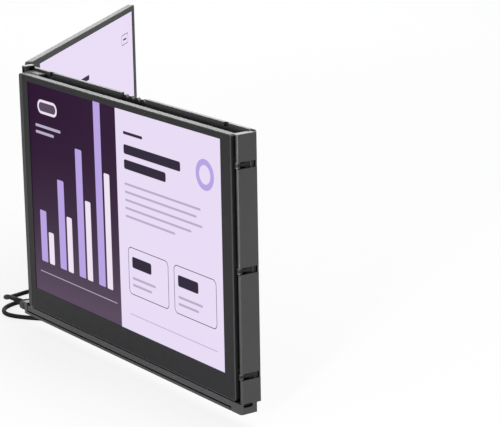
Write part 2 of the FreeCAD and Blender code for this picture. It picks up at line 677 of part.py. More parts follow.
def screen_shell(side):
    """The display's rear shell: a shallow tray with rounded corners and hinge slots."""
    name = SIDE_NAMES[side]
    body = doc.addObject("PartDesign::Body", f"{name}_shell_body")
    half = "screen_height / 2"
    outer = ("screen_inset", "screen_inset + screen_width", half, half)
    sketch = screen_sketch(body, f"{name}_shell_outline", side, outer, "-screen_back")
    pad = pad_or_pocket(body, "PartDesign::Pad", f"{name}_shell_pad", sketch,
                        "screen_back + screen_face")
    corners = dress(body, "PartDesign::Fillet", f"{name}_shell_corners", pad, "screen_corner",
                    lambda mid, way: abs(way.y) > 1 and abs(way.x) + abs(way.z) < 0.01)
    back = SIZE["screen_back"]
    dress(body, "PartDesign::Fillet", f"{name}_shell_edges", corners, "1.1",
                  lambda mid, way: mid.y > back - 0.01)
    free = f"screen_inset + screen_width - {margin(side, 'bezel_free')}"
    seat = ("screen_inset + 2 * bezel_rim", free, f"{half} - bezel_rim", f"{half} - bezel_rim")
    seat_sketch = screen_sketch(body, f"{name}_seat_outline", side, seat, "screen_face")
    pad_or_pocket(body, "PartDesign::Pocket", f"{name}_seat", seat_sketch, "glass_depth")
    cavity = ("screen_inset + shell_wall + 0.9", f"{free} - 0.8",
              f"{half} - shell_wall - 0.3", f"{half} - shell_wall - 0.3")
    cavity_sketch = screen_sketch(body, f"{name}_cavity_outline", side, cavity, "screen_face - glass_depth")
    pad_or_pocket(body, "PartDesign::Pocket", f"{name}_cavity", cavity_sketch,
                  "screen_back + screen_face - glass_depth - 1.2")
    slots = [box(f"{name}_slot_{window}",
                 span(-side, "screen_inset - 1", "screen_inset + shell_wall + 1.5"), ("-2.35", "-0.9"),
                 (f"window_{window} - {name}_middle - 2.8", f"window_{window} - {name}_middle + 2.8"))
             for window in WINDOWS]
    rooms = [box(f"{name}_leaf_room_{window}",
                 span(-side, "screen_inset + 1.3", "view_hinge - 0.2"), ("-2.35", "-0.9"),
                 (f"window_{window} - {name}_middle - 8.2", f"window_{window} - {name}_middle + 8.2"))
             for window in WINDOWS]
    return node(f"{name}_shell", cut(f"{name}_shell_cut", body, slots + rooms), screen_place(side))


def view_window(side, grow, depth, name):
    """A block over the display's lit area, grown on all sides."""
    x = span(-side, f"screen_inset + {margin(side, 'view_hinge')} - {grow}",
             f"screen_inset + screen_width - {margin(side, 'view_free')} + {grow}")
    z = (f"-screen_height / 2 + view_bottom - {grow}", f"screen_height / 2 - view_top + {grow}")
    return box(name, x, depth, z)


def screen_bezel(side):
    name = SIDE_NAMES[side]
    plate = box(f"{name}_bezel_plate",
                span(-side, "screen_inset + 2 * bezel_rim + 0.15",
                     f"screen_inset + screen_width - {margin(side, 'bezel_free')} - 0.15"),
                ("screen_face - glass_depth", "screen_face - 0.1"),
                ("-screen_height / 2 + bezel_rim + 0.15", "screen_height / 2 - bezel_rim - 0.15"))
    hole = view_window(side, 0, ("0", "6"), f"{name}_bezel_hole")
    return node(f"{name}_bezel", cut(f"{name}_bezel_cut", plate, [hole]), screen_place(side))


def screen_stack(side):
    """The glass panel and the backlight unit behind it."""
    name = SIDE_NAMES[side]
    front = "screen_face - glass_depth"
    panel = view_window(side, 2.5, (f"{front} - 1.1", front), f"{name}_panel_block")
    node(f"{name}_panel", wrapped(panel), screen_place(side))
    light = view_window(side, 2.5, (f"{front} - 3.1", f"{front} - 1.15"), f"{name}_backlight_block")
    node(f"{name}_backlight", wrapped(light), screen_place(side))


def wrapped(block):
    """A group of one block, so that the block keeps its place inside the display."""
    group = doc.addObject("Part::Compound", f"{block.Name}_group")
    group.Links = [block]
    return group


def driver_board(side):
    """The display's driver board in the deep lower bezel, with its ribbon to the panel."""
    name = SIDE_NAMES[side]
    low = "-screen_height / 2 + 3.2"
    board = box(f"{name}_driver_sheet", span(-side, "60", "190"), ("-2.3", "-1.5"), (low, f"{low} + 12.5"))
    chip = box(f"{name}_driver_chip", span(-side, "100", "112"), ("-1.5", "-0.4"),
               (f"{low} + 2.5", f"{low} + 10"))
    plug = box(f"{name}_driver_plug", span(-side, "66", "76"), ("-1.5", "0.3"),
               (f"{low} + 3.5", f"{low} + 9"))
    ribbon = box(f"{name}_driver_ribbon", span(-side, "130", "160"), ("-1.5", "-1.3"),
                 (f"{low} + 1", f"{low} + 12.5"))
    return node(f"{name}_driver_board", join(f"{name}_driver_solid", [board, chip, plug, ribbon]),
                screen_place(side))


# Cable, on a route of straight runs and the arcs that join them

def route_shape(points, diameter):
    """A tube along straight runs joined by tangent arcs, with its radii and volume printed."""
    arcs = []
    for before, corner, after in zip(points, points[1:], points[2:]):
        run_in, run_out = corner - before, after - corner
        turn = run_in.getAngle(run_out)
        radius = 0.45 * min(run_in.Length, run_out.Length) / math.tan(turn / 2)
        tangent = radius * math.tan(turn / 2)
        way_in, way_out = Vector(run_in).normalize(), Vector(run_out).normalize()
        start, end = corner - way_in * tangent, corner + way_out * tangent
        bisector = (way_out - way_in).normalize()
        centre = corner + bisector * (radius / math.cos(turn / 2))
        arcs.append((start, centre - bisector * radius, end, radius))
    edges = []
    here = points[0]
    for start, middle, end, radius in arcs:
        edges.append(Part.LineSegment(here, start).toShape())
        edges.append(Part.Arc(start, middle, end).toShape())
        here = end
    edges.append(Part.LineSegment(here, points[-1]).toShape())
    wire = Part.Wire(edges)
    way = (points[1] - points[0]).normalize()
    ring = Part.Wire([Part.Circle(points[0], way, diameter / 2).toShape()])
    tube = wire.makePipeShell([ring], True, False)
    expected = math.pi * diameter ** 2 / 4 * wire.Length
    radii = ", ".join(f"{item[3]:.0f}" for item in arcs)
    print(f"tube length {wire.Length:.1f} mm, radii {radii}, volume {tube.Volume / expected:.4f} of expected")
    return tube, wire.Length


def keep(label, shape):
    item = doc.addObject("Part::Feature", label)
    item.Shape = shape
    return node(label, item)


TABLE_LINE = SIZE["table"] + SIZE["cable"] / 2
COIL_MIDDLE = Vector(-120, 47, TABLE_LINE)
COIL_RADIUS = 27.7
COIL_PITCH = 4.9
COIL_HALF_TURNS = 4


def coil_wire():
    """Semicircles that spiral in, climb one layer, and spiral out again."""
    point = COIL_MIDDLE + Vector(0, -COIL_RADIUS, 0)
    lead = SIZE["cable"]
    edges = [Part.LineSegment(point - Vector(lead, 0, 0), point).toShape()]
    way = Vector(1, 0, 0)
    left = Vector(0, 1, 0)
    radius = COIL_RADIUS
    halves = []
    for number in range(COIL_HALF_TURNS):
        halves.append((radius, 0.0))
        radius -= COIL_PITCH / 2
    halves.append((radius, COIL_PITCH))
    for number in range(COIL_HALF_TURNS - 1):
        radius += COIL_PITCH / 2
        halves.append((radius, 0.0))
    for size, climb in halves:
        end = point + left * (2 * size) + Vector(0, 0, climb)
        reach = (end - point).Length / 2
        middle = (point + end) * 0.5 + way * reach
        edges.append(Part.Arc(point, middle, end).toShape())
        point, way, left = end, way * -1, left * -1
    edges.append(Part.LineSegment(point, point + way * lead).toShape())
    return Part.Wire(edges), point + way * lead, way


def least_gap(wire, diameter, steps=1400):
    """The least gap between turns, on points along the wire more than two diameters apart."""
    points = wire.discretize(Number=steps)
    step = wire.Length / (steps - 1)
    skip = int(3 * diameter / step)
    least = min((points[i] - points[j]).Length
                for i in range(0, steps, 2) for j in range(i + skip, steps, 2))
    return least - diameter


def cable_parts():
    """Plug, strain relief, cable, coil and the plug at the far end."""
    port = Vector(-SIZE["frame_half"], -SIZE["port_depth"], SIZE["far_port_height"])
    out = Vector(-1, 0, 0)

    def slab(start, length, wide, tall, radius):
        """A block along X with rounded long edges, from start towards -X."""
        block = Part.makeBox(length, wide, tall, start + Vector(-length, -wide / 2, -tall / 2))
        long_edges = [edge for edge in block.Edges
                      if abs(edge.Vertexes[0].Point.x - edge.Vertexes[-1].Point.x) > 0.1]
        return block.makeFillet(radius, long_edges)

    blade = slab(port + Vector(5.0, 0, 0), 5.4, 8.1, 2.36, 1.1)
    mouth = Part.makeBox(5.4, 6.8, 0.94, port + Vector(-0.1, -3.4, -0.47))
    keep("plug_blade", blade.cut(mouth))
    grip = slab(port + Vector(-0.4, 0, 0), 11.4, 12, 7.4, 3)
    keep("plug_grip", grip)
    tail_start = port + Vector(-11.8, 0, 0)
    cone = Part.makeCone(3.6, SIZE["cable"] / 2 + 0.35, 16, tail_start, out)
    exit_point = tail_start + out * 16
    keep("strain_relief", cone)

    lying = TABLE_LINE
    route = [exit_point] + [Vector(*place) for place in (
        (-216.0, -15.1, SIZE["far_port_height"]),
        (-229.5, -11.5, -114.0),
        (-243.0, -4.0, -119.4),
        (-256.5, 6.5, -124.6),
        (-266.5, 21.0, lying),
        (-270.5, 39.0, lying),
        (-266.5, 57.0, lying),
        (-253.0, 70.0, lying),
        (-235.5, 71.0, lying),
        (-224.0, 58.0, lying),
        (-225.5, 41.0, lying),
        (-238.0, 29.5, lying),
        (-245.0, 16.5, lying),
        (-243.0, 2.0, lying),
        (-235.5, -10.5, lying),
        (-223.0, -17.5, lying),
        (-211.0, -16.5, lying),
        (-196.5, -8.0, lying),
        (-181.0, 5.0, lying),
        (-164.0, 15.0, lying),
    )]
    coil_start = COIL_MIDDLE + Vector(-SIZE["cable"], -COIL_RADIUS, 0)
    route.append(coil_start - Vector(19, 0, 0))
    route.append(coil_start)
    tube, long_run = route_shape(route, SIZE["cable"])
    keep("cable", tube)

    wire, coil_end, way = coil_wire()
    ring = Part.Wire([Part.Circle(coil_start, Vector(1, 0, 0), SIZE["cable"] / 2).toShape()])
    coil = wire.makePipeShell([ring], True, False)
    print(f"coil length {wire.Length:.1f} mm, least gap {least_gap(wire, SIZE['cable']):.2f} mm")
    keep("cable_coil", coil)

    tail = [coil_end,
            coil_end + way * 14,
            Vector(coil_end.x + way.x * 28, coil_end.y + 3.0, TABLE_LINE + 1.8),
            Vector(coil_end.x + way.x * 42, coil_end.y + 7.5, TABLE_LINE + 1.7)]
    end_tube, short_run = route_shape(tail, SIZE["cable"])
    keep("cable_tail", end_tube)
    total = long_run + wire.Length + short_run
    print(f"cable length {total:.1f} mm from strain relief to far plug")

    last, heading = tail[-1], (tail[-1] - tail[-2]).normalize()
    spin = FreeCAD.Rotation(Vector(-1, 0, 0), heading)
    home = FreeCAD.Placement(last, spin)
    far_cone = Part.makeCone(SIZE["cable"] / 2 + 0.35, 3.6, 16, Vector(0, 0, 0), out)
    far_grip = slab(Vector(-16, 0, 0), 11.4, 12, 7.4, 3)
    far_blade = slab(Vector(-27.4, 0, 0), 6.2, 8.1, 2.36, 1.1)
    far_mouth = Part.makeBox(5.4, 6.8, 0.94, Vector(-33.7, -3.4, -0.47))
    for label, shape in (("far_relief", far_cone), ("far_plug_grip", far_grip),
                         ("far_plug_blade", far_blade.cut(far_mouth))):
        item = doc.addObject("Part::Feature", label)
        item.Shape = shape
        node(label, item, home)


# Build everything

frame_plate()
rear_skin()
rest_pads()
holding_magnets()
top_latch()
bar_body()
bar_base()
base_screws()
foot_screws()
hub_board()
cover_screws()
far_shoulder()
for side in (NEAR, FAR):
    port_socket(side)
    cover_pieces(side)
    hinge_brackets(side)
    rear_pins(side)
    for window in WINDOWS:
        hinge_link(side, window)
    screen_hinges(side)
    front_pins(side)
    screen_shell(side)
    screen_bezel(side)
    screen_stack(side)
    driver_board(side)
cable_parts()
doc.recompute()

# Check and write

faults = [item.Name for item in doc.Objects if "Invalid" in item.State or "Error" in item.State]
faults += [item.Label for item in NODES if item.Shape.isNull() or not item.Shape.isValid()]
if faults:
    raise SystemExit(f"failed objects: {faults}")
os.makedirs("parts", exist_ok=True)
for item in NODES:
    item.Shape.exportStep(f"parts/{item.Label}.step")
whole = FreeCAD.BoundBox()
for item in NODES:
    whole.add(item.Shape.BoundBox)
print(f"{len(NODES)} nodes, {sum(len(item.Shape.Solids) for item in NODES)} solids")
print(f"overall {whole.XLength:.1f} x {whole.YLength:.1f} x {whole.ZLength:.1f} mm")
for side in (NEAR, FAR):
    axis = axis_point(side, LINK_TURN[side])
    print(f"{SIDE_NAMES[side]} display axis at X {axis.x:.3f}, Y {axis.y:.3f}")
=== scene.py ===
# %% [markdown]
# # A folding two-screen extender
# The object is a thin upright frame with two displays. Its grey plate carries a bar with two
# ports along its foot and a hollow column up each side. Three links in each column hold a display
# that swings out. This lesson dresses its fixed frame, which is imported first: every new piece
# is put in the frame's own place, in metres, and rides on one of its moving bodies.

# %% Load the frame
import bpy
import json
import math
from mathutils import Matrix, Vector


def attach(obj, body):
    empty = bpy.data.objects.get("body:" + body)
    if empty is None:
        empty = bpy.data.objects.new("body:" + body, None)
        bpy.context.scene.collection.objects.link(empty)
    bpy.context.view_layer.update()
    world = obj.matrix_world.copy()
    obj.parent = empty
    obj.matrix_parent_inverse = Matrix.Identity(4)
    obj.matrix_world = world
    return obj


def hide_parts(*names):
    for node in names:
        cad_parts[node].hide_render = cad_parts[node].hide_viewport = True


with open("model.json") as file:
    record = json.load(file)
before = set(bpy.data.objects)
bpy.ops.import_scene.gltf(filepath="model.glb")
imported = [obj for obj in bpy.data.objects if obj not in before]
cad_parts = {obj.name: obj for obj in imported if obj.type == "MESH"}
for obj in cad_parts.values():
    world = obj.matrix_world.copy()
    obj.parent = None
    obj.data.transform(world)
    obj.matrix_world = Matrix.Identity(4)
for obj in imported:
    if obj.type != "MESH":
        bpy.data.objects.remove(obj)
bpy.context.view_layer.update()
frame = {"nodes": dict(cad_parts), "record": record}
nodes = frame["nodes"]

# %% [markdown]
# The camera stands to the right, a little above the object, and far away, so the long screen
# narrows only slightly towards its far end. Its angles were fitted to the edges of the real
# thing. It is made before any piece, because the cable's unseen length has to lie where this view
# doesn't reach.

# %% Camera
lens_data = bpy.data.cameras.new("camera")
lens_data.sensor_width = 36
lens_data.lens = 151.06
lens_data.clip_end = 20
camera = bpy.data.objects.new("camera", lens_data)
bpy.context.scene.collection.objects.link(camera)
camera.location = (1.46957, -0.92164, 0.46647)
camera.rotation_euler = (1.313728, 0.017447, 0.952580)
bpy.context.scene.camera = camera
print("camera at", tuple(round(v, 3) for v in camera.location))

# %% [markdown]
# Operators act on whatever is selected, and the imported pieces are still selected. So each piece
# starts from an empty selection. Its primitive is added at its real size and place, and when it
# is done its place is moved into its mesh, so that a pattern on it stays put when the body turns.

# %% Helpers for modelling
MM = 0.001
MERGE_WITHIN = 0.005 * MM
SMOOTH_BELOW = math.radians(35)


def clear_selection():
    if bpy.context.object and bpy.context.object.mode != "OBJECT":
        bpy.ops.object.mode_set(mode="OBJECT")
    bpy.ops.object.select_all(action="DESELECT")


def select_only(piece):
    """Selects one piece and makes it the one that operators act on."""
    clear_selection()
    piece.select_set(True)
    bpy.context.view_layer.objects.active = piece


def start(name):
    """Names the primitive just added and applies its place and size."""
    piece = bpy.context.object
    piece.name = name
    piece.data.name = name
    bpy.ops.object.transform_apply(location=True, rotation=True, scale=True)
    return piece


def block(name, low, high):
    """A box between two corners in millimetres."""
    clear_selection()
    middle = [(a + b) / 2 * MM for a, b in zip(low, high)]
    bpy.ops.mesh.primitive_cube_add(size=1, location=middle)
    bpy.context.object.scale = [abs(b - a) * MM for a, b in zip(low, high)]
    return start(name)


def modify(piece, kind, **settings):
    """Adds a modifier, sets it and applies it."""
    select_only(piece)
    modifier = piece.modifiers.new(kind.lower(), kind)
    for key, value in settings.items():
        setattr(modifier, key, value)
    bpy.ops.object.modifier_apply(modifier=modifier.name)


def pick_faces(piece, wanted):
    """Enters edit mode with only the wanted faces selected, by their centre and normal."""
    select_only(piece)
    bpy.ops.object.mode_set(mode="EDIT")
    bpy.ops.mesh.select_all(action="DESELECT")
    bpy.ops.mesh.select_mode(type="FACE")
    bpy.ops.object.mode_set(mode="OBJECT")
    for face in piece.data.polygons:
        face.select = wanted(face.center / MM, face.normal)
    bpy.ops.object.mode_set(mode="EDIT")


def cut_rings(piece, first, pitch, cuts):
    """Cuts edge loops square to a piece's length, from first millimetres on towards -X."""
    for number in range(cuts):
        select_only(piece)
        bpy.ops.object.mode_set(mode="EDIT")
        bpy.ops.mesh.select_all(action="SELECT")
        bpy.ops.mesh.bisect(plane_co=((first - number * pitch) * MM, 0, 0), plane_no=(1, 0, 0))
    bpy.ops.object.mode_set(mode="OBJECT")


def finish_piece(piece, body, place):
    """Moves the mesh into place, closes and smooths it, and lets it ride."""
    select_only(piece)
    piece.data.transform(place)
    bpy.ops.object.mode_set(mode="EDIT")
    bpy.ops.mesh.select_all(action="SELECT")
    bpy.ops.mesh.remove_doubles(threshold=MERGE_WITHIN)
    bpy.ops.mesh.normals_make_consistent(inside=False)
    bpy.ops.object.mode_set(mode="OBJECT")
    bpy.ops.object.shade_smooth_by_angle(angle=SMOOTH_BELOW)
    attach(piece, body)
    print(piece.name, len(piece.data.polygons), "faces")
    return piece


# %% [markdown]
# ## Cable
# One black cable leaves the plug at the bar's far end, drops to the table, loops back beside the
# bar and goes on behind it, where the spare length lies in a small coil. A cable bends everywhere
# a little and nowhere sharply, so it is one smooth spline through the few places that steer it.
# Each place is a control point: the line passes near it and never kinks.

# %% Cable route
CABLE = 4.2
TABLE = -129.4
LYING = TABLE + CABLE / 2
lead_points = [
    (-203.05, -15.1, -109.6), (-216.0, -15.1, -109.6), (-229.5, -11.5, -114.0),
    (-243.0, -4.0, -119.4), (-256.5, 6.5, -124.6), (-266.5, 21.0, LYING),
    (-270.5, 39.0, LYING), (-266.5, 57.0, LYING), (-253.0, 70.0, LYING),
    (-235.5, 71.0, LYING), (-224.0, 58.0, LYING), (-225.5, 41.0, LYING),
    (-238.0, 29.5, LYING), (-245.0, 16.5, LYING), (-243.0, 2.0, LYING),
    (-235.5, -10.5, LYING), (-223.0, -17.5, LYING), (-211.0, -16.5, LYING),
    (-196.5, -8.0, LYING), (-181.0, 5.0, LYING), (-164.0, 15.0, LYING),
    (-143.2, 19.3, LYING), (-124.2, 19.3, LYING),
]

# %% [markdown]
# The coil winds in by a little more than a cable's width each turn, climbs one layer at its inner
# end, and winds out again on top. Its turns are sixteen points each, pushed out by one and a half
# percent because the spline runs just inside its control points. The tail then comes down and
# stays a little above the table, because the plug on its end is thicker than the cable.

# %% Coil points
COIL_CENTRE = Vector((-120, 47, LYING))
COIL_RADIUS = 27.7
COIL_PITCH = 4.9
COIL_PUSH = 1.015
HALF_STEPS = 8
TAIL_STEP = 14
half_radii = [COIL_RADIUS - COIL_PITCH / 2 * step for step in (0, 1, 2, 3, 4, 3, 2, 1)]
coil_points = []
near_y = COIL_CENTRE.y - COIL_RADIUS
height = LYING
for number, radius in enumerate(half_radii):
    first_half = number % 2 == 0
    middle_y = near_y + radius if first_half else near_y - radius
    climb = COIL_PITCH if radius == min(half_radii) else 0
    for step in range(HALF_STEPS):
        angle = -math.pi / 2 + math.pi * (step + 0.5) / HALF_STEPS
        angle += 0 if first_half else math.pi
        coil_points.append((COIL_CENTRE.x + radius * COIL_PUSH * math.cos(angle),
                            middle_y + radius * COIL_PUSH * math.sin(angle),
                            height + climb * (step + 0.5) / HALF_STEPS))
    near_y += 2 * radius if first_half else -2 * radius
    height += climb
end_x, end_y = COIL_CENTRE.x + CABLE, COIL_CENTRE.y - COIL_RADIUS
tail_points = [(end_x, end_y, height), (end_x + TAIL_STEP, end_y, height),
               (end_x + 2 * TAIL_STEP, end_y + 3.0, LYING + 1.8),
               (end_x + 3 * TAIL_STEP, end_y + 7.5, LYING + 1.7)]
print(len(coil_points), "points wind", len(half_radii) / 2, "turns")

# %% Cable curve
cable_data = bpy.data.curves.new("cable_line", "CURVE")
cable_data.dimensions = "3D"
line = cable_data.splines.new("NURBS")
cable_points = lead_points + coil_points + tail_points
line.points.add(len(cable_points) - 1)
for control, place in zip(line.points, cable_points):
    control.co = (place[0] * MM, place[1] * MM, place[2] * MM, 1)
line.order_u = 3
line.use_endpoint_u = True
line.resolution_u = 6
cable = bpy.data.objects.new("cable_jacket", cable_data)
bpy.context.scene.collection.objects.link(cable)
line_mesh = bpy.data.meshes.new_from_object(cable)
bpy.data.meshes.remove(line_mesh)
cable_data.bevel_depth = CABLE / 2 * MM
cable_data.bevel_resolution = 5
cable_data.use_fill_caps = True
select_only(cable)
bpy.ops.object.convert(target="MESH")
cable = bpy.context.object
bpy.ops.object.shade_smooth()
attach(cable, "frame")
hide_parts("cable", "cable_coil", "cable_tail")

# %% [markdown]
# Each end of the cable has a moulded grip with shallow finger ribs on its two broad sides, and a
# ribbed sleeve that lets the cable bend gently. The grip starts as a box: its long edges are
# bevelled round, its middle is cut into strips, and every second strip is inset and pushed in,
# which leaves the ribs.

# %% Plug grips
GRIP_LENGTH = 11.4
GRIP_HALF_WIDTH, GRIP_HALF_HEIGHT, GRIP_ROUNDING = 6.0, 3.7, 2.9
RIB_START, RIB_PITCH, RIB_CUTS = -3.6, 1.1, 5
RIB_END = RIB_START - RIB_PITCH * (RIB_CUTS - 1)


def plug_grip(name, body, place):
    grip = block(name, (-GRIP_LENGTH, -GRIP_HALF_WIDTH, -GRIP_HALF_HEIGHT),
                 (0.0, GRIP_HALF_WIDTH, GRIP_HALF_HEIGHT))
    modify(grip, "BEVEL", width=GRIP_ROUNDING * MM, segments=6, limit_method="ANGLE",
           angle_limit=math.radians(60))
    cut_rings(grip, RIB_START, RIB_PITCH, RIB_CUTS)

    def sunk(c, n):
        strip = int((c.x - RIB_END) / RIB_PITCH)
        return abs(n.z) > 0.9 and RIB_END < c.x < RIB_START and strip % 2 == 0
    pick_faces(grip, sunk)
    bpy.ops.mesh.inset(thickness=0.12 * MM, depth=-0.28 * MM, use_individual=True)
    return finish_piece(grip, body, place)


# %% [markdown]
# The sleeve is a cone, cut into rings in the same way. Every second ring is drawn in all round,
# so that the sleeve bends in the thin places and not at its mouth.

# %% Ribbed sleeves
SLEEVE_LENGTH = 16
RING_START, RING_PITCH, RING_CUTS = -2.4, 1.15, 11
RING_END = RING_START - RING_PITCH * (RING_CUTS - 1)


def relief_sleeve(name, body, place):
    clear_selection()
    bpy.ops.mesh.primitive_cone_add(
        vertices=40, radius1=3.6 * MM, radius2=2.5 * MM, depth=SLEEVE_LENGTH * MM,
        location=(-SLEEVE_LENGTH / 2 * MM, 0, 0), rotation=(0, -math.pi / 2, 0))
    sleeve = start(name)
    cut_rings(sleeve, RING_START, RING_PITCH, RING_CUTS)

    def drawn_in(c, n):
        ring = int((RING_START - c.x) / RING_PITCH)
        return RING_END < c.x < RING_START and abs(n.x) < 0.5 and ring % 2 == 0
    pick_faces(sleeve, drawn_in)
    bpy.ops.mesh.inset(thickness=0.1 * MM, depth=-0.35 * MM)
    return finish_piece(sleeve, body, place)


# %% Grips and sleeves on both ends
PORT_FACE = (-175.65, -15.1, -109.6)
port_place = Matrix.Translation(Vector(PORT_FACE) * MM)
behind_grip = Matrix.Translation((-GRIP_LENGTH * MM, 0, 0))
near_grip = plug_grip("cable_grip", "frame", port_place)
near_sleeve = relief_sleeve("cable_sleeve", "frame", port_place @ behind_grip)
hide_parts("plug_grip")
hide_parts("strain_relief")
end = Vector(tail_points[-1])
heading = (end - Vector(tail_points[-2])).normalized()
end_turn = Vector((-1, 0, 0)).rotation_difference(heading).to_matrix().to_4x4()
beyond_sleeve = Matrix.Translation((-SLEEVE_LENGTH * MM, 0, 0))
end_place = Matrix.Translation(end * MM) @ end_turn @ beyond_sleeve
far_sleeve = relief_sleeve("end_sleeve", "frame", end_place @ Matrix.Rotation(math.pi, 4, "Z"))
far_grip = plug_grip("end_grip", "frame", end_place)
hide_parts("far_relief")
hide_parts("far_plug_grip")

# %% [markdown]
# A soft strap holds the coil's turns together. It is a flat ring round the pile: a torus squeezed
# into an upright oval, so that it hugs four turns lying side by side and two high.

# %% Strap round the coil
STRAP_REACH_X, STRAP_REACH_Z = 8.6, 5.6
STRAP_THICK, STRAP_WIDE = 4, 38
PILE_OFFSET, PILE_LIFT = 23, 1.2
clear_selection()
bpy.ops.mesh.primitive_torus_add(
    major_segments=48, minor_segments=10, major_radius=1, minor_radius=0.09,
    location=(0, 0, 0), rotation=(math.pi / 2, 0, 0))
strap = start("coil_strap")
for vertex in strap.data.vertices:
    radial = Vector((vertex.co.x, 0, vertex.co.z))
    around = radial.normalized()
    bulge = (radial.length - 1) * STRAP_THICK
    vertex.co = Vector((around.x * (STRAP_REACH_X + bulge), vertex.co.y * STRAP_WIDE,
                        around.z * (STRAP_REACH_Z + bulge))) * MM
strap.data.update()
strap_middle = Vector((COIL_CENTRE.x + PILE_OFFSET, COIL_CENTRE.y,
                       LYING + COIL_PITCH / 2 + PILE_LIFT)) * MM
finish_piece(strap, "frame", Matrix.Translation(strap_middle))

# %% [markdown]

# %% [markdown]
# ## Finishes
# Moulded plastic is never one flat colour. Its mould leaves a fine grain that breaks up
# reflections, its tone drifts a little over the length of a part, and dust settles where it faces
# up. These effects are node groups with named inputs, built once and placed in each finish with
# its own values.

# %% Node helpers
def new_group(name, inputs, outputs):
    """An empty node group with named sockets, and its input and output nodes."""
    group = bpy.data.node_groups.new(name, "ShaderNodeTree")
    for kind, label, default in inputs:
        socket = group.interface.new_socket(label, in_out="INPUT", socket_type="NodeSocket" + kind)
        if default is not None:
            socket.default_value = default
    for kind, label in outputs:
        group.interface.new_socket(label, in_out="OUTPUT", socket_type="NodeSocket" + kind)
    print("group", name)
    return group, group.nodes.new("NodeGroupInput"), group.nodes.new("NodeGroupOutput")


def math_node(tree, operation, first, second=None, third=None, clamp=False):
    node = tree.nodes.new("ShaderNodeMath")
    node.operation = operation
    node.use_clamp = clamp
    for socket, value in zip(node.inputs, (first, second, third)):
        if value is None:
            continue
        if isinstance(value, (int, float)):
            socket.default_value = value
        else:
            tree.links.new(value, socket)
    return node.outputs[0]


# A Mix node has sockets for every kind of value, and these are the numbers of its colour sockets.
MIX_FACTOR, MIX_FIRST, MIX_SECOND, MIX_RESULT = 0, 6, 7, 2


def blend_colour(tree, factor, first, second):
    node = tree.nodes.new("ShaderNodeMix")
    node.data_type = "RGBA"
    for number, value in ((MIX_FACTOR, factor), (MIX_FIRST, first), (MIX_SECOND, second)):
        if isinstance(value, (int, float, tuple)):
            node.inputs[number].default_value = value
        else:
            tree.links.new(value, node.inputs[number])
    return node.outputs[MIX_RESULT]


def scaled(tree, colour, factor):
    node = tree.nodes.new("ShaderNodeVectorMath")
    node.operation = "SCALE"
    tree.links.new(colour, node.inputs[0])
    tree.links.new(factor, node.inputs["Scale"])
    return node.outputs[0]


def noise(tree, vector, scale, detail=3.0, rough=0.5):
    node = tree.nodes.new("ShaderNodeTexNoise")
    tree.links.new(vector, node.inputs["Vector"])
    if isinstance(scale, (int, float)):
        node.inputs["Scale"].default_value = scale
    else:
        tree.links.new(scale, node.inputs["Scale"])
    node.inputs["Detail"].default_value = detail
    node.inputs["Roughness"].default_value = rough
    return node.outputs["Fac"]


# %% [markdown]
# Two noises make the grain of a moulded skin: a fine one for its specks and for the bump, and a
# broad one that lets tone and gloss drift together over the length of a part.

# %% Mould grain group
NOISE_MIDDLE = 0.5
BROAD_SCALE = 14.0
DRIFT_TO_TONE, DRIFT_TO_ROUGHNESS, SPECK_TO_TONE = 2.0, 0.8, 0.5
grain, g_in, g_out = new_group(
    "mould_grain",
    [("Vector", "Vector", None), ("Color", "Tone", (0.1, 0.1, 0.1, 1)), ("Float", "Drift", 0.15),
     ("Float", "Grain size", 1800.0), ("Float", "Roughness", 0.5)],
    [("Color", "Color"), ("Float", "Roughness"), ("Float", "Height")])
fine = noise(grain, g_in.outputs["Vector"], g_in.outputs["Grain size"], 4.0, 0.6)
broad = noise(grain, g_in.outputs["Vector"], BROAD_SCALE)
drift = math_node(grain, "SUBTRACT", broad, NOISE_MIDDLE)
drift = math_node(grain, "MULTIPLY", drift, g_in.outputs["Drift"])
speck = math_node(grain, "SUBTRACT", fine, NOISE_MIDDLE)
speck = math_node(grain, "MULTIPLY", speck, SPECK_TO_TONE)
level = math_node(grain, "MULTIPLY", drift, DRIFT_TO_TONE)
level = math_node(grain, "ADD", 1.0, math_node(grain, "ADD", level, speck))
grain.links.new(scaled(grain, g_in.outputs["Tone"], level), g_out.inputs["Color"])
gloss = math_node(grain, "MULTIPLY", drift, DRIFT_TO_ROUGHNESS)
gloss = math_node(grain, "ADD", g_in.outputs["Roughness"], gloss, clamp=True)
grain.links.new(gloss, g_out.inputs["Roughness"])
grain.links.new(fine, g_out.inputs["Height"])

# %% [markdown]
# Dust settles only where a face looks up. The group reads the direction of the surface, lets more
# dust through the more it points up, and breaks the layer into patches with a noise.

# %% Settled dust group
DUST_SCALE = 240.0
DUST_GREY = (0.42, 0.41, 0.4, 1)
DUST_DULLS = 0.5
dust, d_in, d_out = new_group(
    "settled_dust",
    [("Vector", "Vector", None), ("Color", "Color", (0.1, 0.1, 0.1, 1)),
     ("Float", "Roughness", 0.5), ("Float", "Amount", 0.1)],
    [("Color", "Color"), ("Float", "Roughness")])
facing = dust.nodes.new("ShaderNodeNewGeometry")
split = dust.nodes.new("ShaderNodeSeparateXYZ")
dust.links.new(facing.outputs["Normal"], split.inputs[0])
upward = math_node(dust, "MULTIPLY", split.outputs["Z"], split.outputs["Z"])
faces_up = math_node(dust, "GREATER_THAN", split.outputs["Z"], 0.0)
upward = math_node(dust, "MULTIPLY", upward, faces_up)
patch = noise(dust, d_in.outputs["Vector"], DUST_SCALE, 5.0, 0.65)
cover = math_node(dust, "MULTIPLY", upward, patch)
cover = math_node(dust, "MULTIPLY", cover, d_in.outputs["Amount"], clamp=True)
dusted = blend_colour(dust, cover, d_in.outputs["Color"], DUST_GREY)
dust.links.new(dusted, d_out.inputs["Color"])
duller = math_node(dust, "MULTIPLY", cover, DUST_DULLS)
